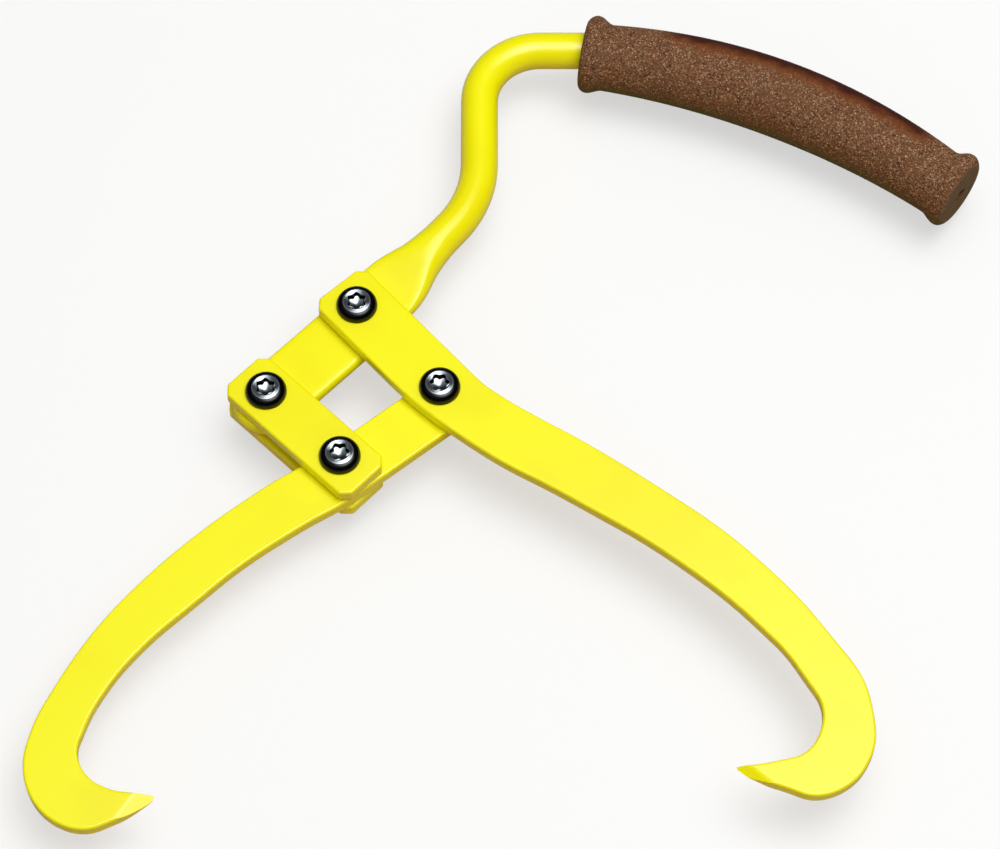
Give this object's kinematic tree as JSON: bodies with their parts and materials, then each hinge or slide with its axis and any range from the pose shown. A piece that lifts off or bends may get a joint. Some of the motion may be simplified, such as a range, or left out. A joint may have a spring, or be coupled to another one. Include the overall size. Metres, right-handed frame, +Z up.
{
  "type": "log lifting tongs",
  "caption": "Hand tongs for lifting logs: hooked plate jaws on a bolted link frame, carried by a bent round bar with a moulded grip.",
  "frame": {"origin": "middle of the footprint, on the surface that the tongs lie on", "axes": "+Z up out of the screw heads, the pivots' axes along Z; +X towards the far end of the grip; +Y from the jaws towards the handle"},
  "size_m": [0.3196, 0.3088, 0.0353],
  "materials": {
    "yellow_paint": "glossy yellow powder coat over steel",
    "cork_rubber": "matt moulded brown rubber with pale and red granules",
    "black_steel": "black oxide with bright worn socket rim",
    "zinc_steel": "bright zinc plating",
    "nylon": "translucent nylon"
  },
  "bodies": {
    "handle": {"handle_bar": "yellow_paint", "grip": "cork_rubber"},
    "right_jaw": {"right_jaw": "yellow_paint", "hand_pivot_screw": "black_steel", "hand_pivot_washer": "zinc_steel", "hand_pivot_nut": "zinc_steel", "hand_pivot_nut_ring": "nylon", "cross_pivot_screw": "black_steel", "cross_pivot_washer": "zinc_steel", "cross_pivot_nut": "zinc_steel", "cross_pivot_nut_ring": "nylon"},
    "left_jaw": {"left_jaw": "yellow_paint"},
    "links": {"front_link": "yellow_paint", "rear_link": "yellow_paint", "link_pivot_screw": "black_steel", "link_pivot_washer": "zinc_steel", "link_pivot_nut": "zinc_steel", "link_pivot_nut_ring": "nylon", "jaw_pivot_screw": "black_steel", "jaw_pivot_washer": "zinc_steel", "jaw_pivot_nut": "zinc_steel", "jaw_pivot_nut_ring": "nylon"}
  },
  "joints": [
    {"name": "right_jaw_swing", "type": "hinge", "parent": "handle", "child": "right_jaw", "pos_m": [-0.05612, 0.03317, 0.0215], "axis": [0, 0, 1], "range_deg": [-52, 25]},
    {"name": "left_jaw_swing", "type": "hinge", "parent": "right_jaw", "child": "left_jaw", "pos_m": [-0.02774, 0.00166, 0.0215], "axis": [0, 0, 1], "range_deg": [-26, 54]},
    {"name": "link_swing", "type": "hinge", "parent": "handle", "child": "links", "pos_m": [-0.0859, -0.00003, 0.0215], "axis": [0, 0, 1], "range_deg": [-62, 30]}
  ],
  "couplings": [
    {"joint": "left_jaw_swing", "follows": "right_jaw_swing", "ratio": -1.0254},
    {"joint": "link_swing", "follows": "right_jaw_swing", "ratio": 1.1854}
  ]
}
